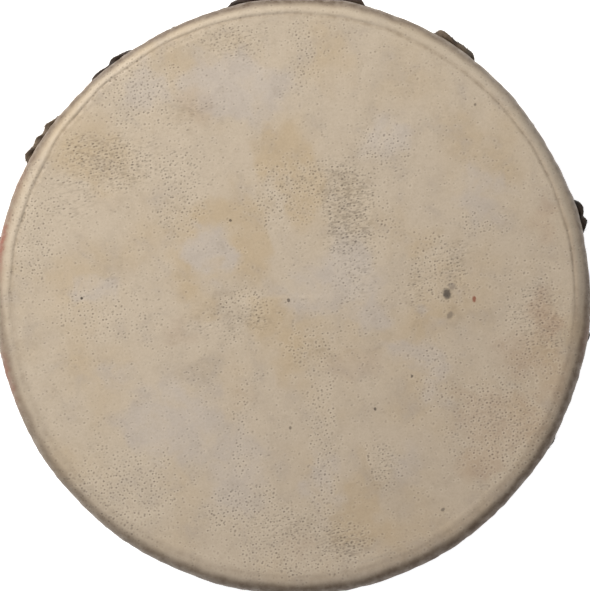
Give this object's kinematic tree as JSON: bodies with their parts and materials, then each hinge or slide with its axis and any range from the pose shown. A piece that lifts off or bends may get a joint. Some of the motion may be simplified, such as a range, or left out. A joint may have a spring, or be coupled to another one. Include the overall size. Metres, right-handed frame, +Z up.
{
  "type": "two-headed ritual drum",
  "caption": "Shallow round ritual drum: hollow carved wooden frame, a rawhide head on each side, laced together with a dark twisted hide thong; lies flat on its lower head.",
  "frame": {"origin": "centre of the underside, on the plane that the lower head's ring rests on", "axes": "+Z up along the drum's axis, out of the pictured playing head; +Y towards the side that is up in a face-on view; +X to its right"},
  "size_m": [0.3052, 0.3053, 0.092],
  "materials": {
    "stained_wood": "carved softwood rubbed with red ochre, worn and dull",
    "rawhide": "dried goat rawhide, scraped, with hair follicles and dirt, satin",
    "hide_thong": "twisted dark hide with some hair left on, matt"
  },
  "bodies": {
    "root": {"frame": "stained_wood", "top_head": "rawhide", "bottom_head": "rawhide", "lacing": "hide_thong"}
  },
  "joints": []
}
